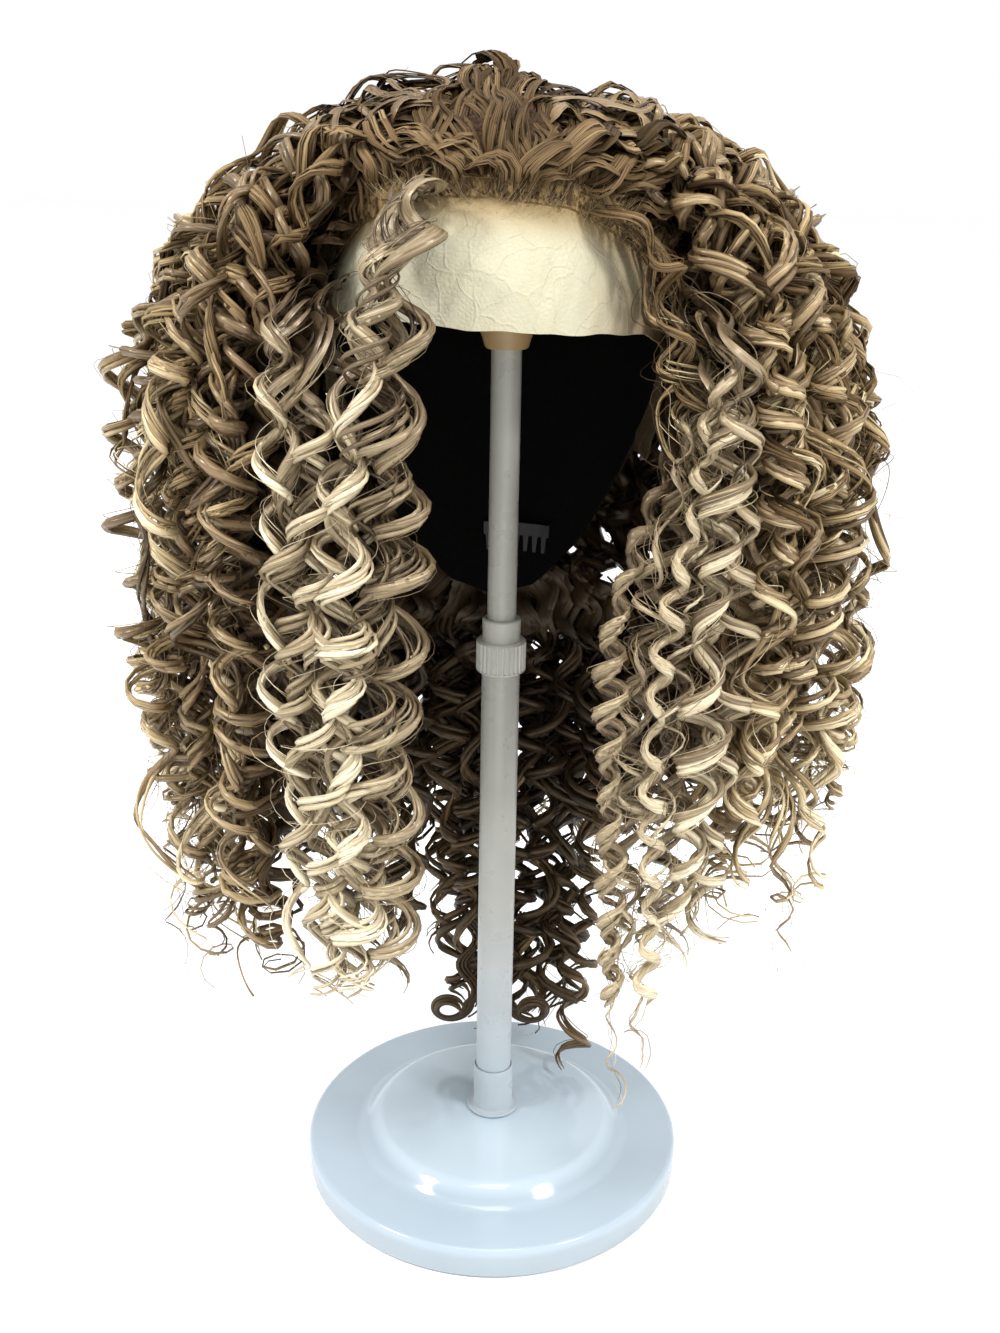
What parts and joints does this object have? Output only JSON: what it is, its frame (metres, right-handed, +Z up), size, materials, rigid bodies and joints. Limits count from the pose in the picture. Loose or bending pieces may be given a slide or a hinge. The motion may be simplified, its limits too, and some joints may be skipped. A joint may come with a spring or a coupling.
{
  "type": "lace front wig on wig stand",
  "caption": "Long curly brown wig with blond highlights and a lace front, standing on a white telescoping wig stand with a round base.",
  "frame": {"origin": "centre of the base's underside, where the stand rests", "axes": "+Z up along the pole, -Y towards the front of the wig, +X to the right as seen from the front"},
  "size_m": [0.3832, 0.2783, 0.593],
  "materials": {
    "white_plastic": "smooth moulded white plastic",
    "cap_net": "dark stretch net",
    "lace": "cream lace, matt",
    "comb_plastic": "grey-brown plastic",
    "brown_hair": "glossy curled fibre, brown with blond streaks",
    "dark_hair": "glossy curled fibre, dark brown",
    "blond_hair": "glossy curled fibre, blond"
  },
  "bodies": {
    "root": {"stand_base": "white_plastic", "base_socket": "white_plastic", "lower_tube": "white_plastic", "lock_collar": "white_plastic", "upper_tube": "white_plastic", "top_dome": "white_plastic", "cap": "cap_net", "lace_front": "lace", "back_comb": "comb_plastic", "front_lock_left": "blond_hair", "front_ringlets_right": "blond_hair", "hair_left": "brown_hair", "hair_right": "brown_hair", "hair_back": "dark_hair"}
  },
  "joints": []
}
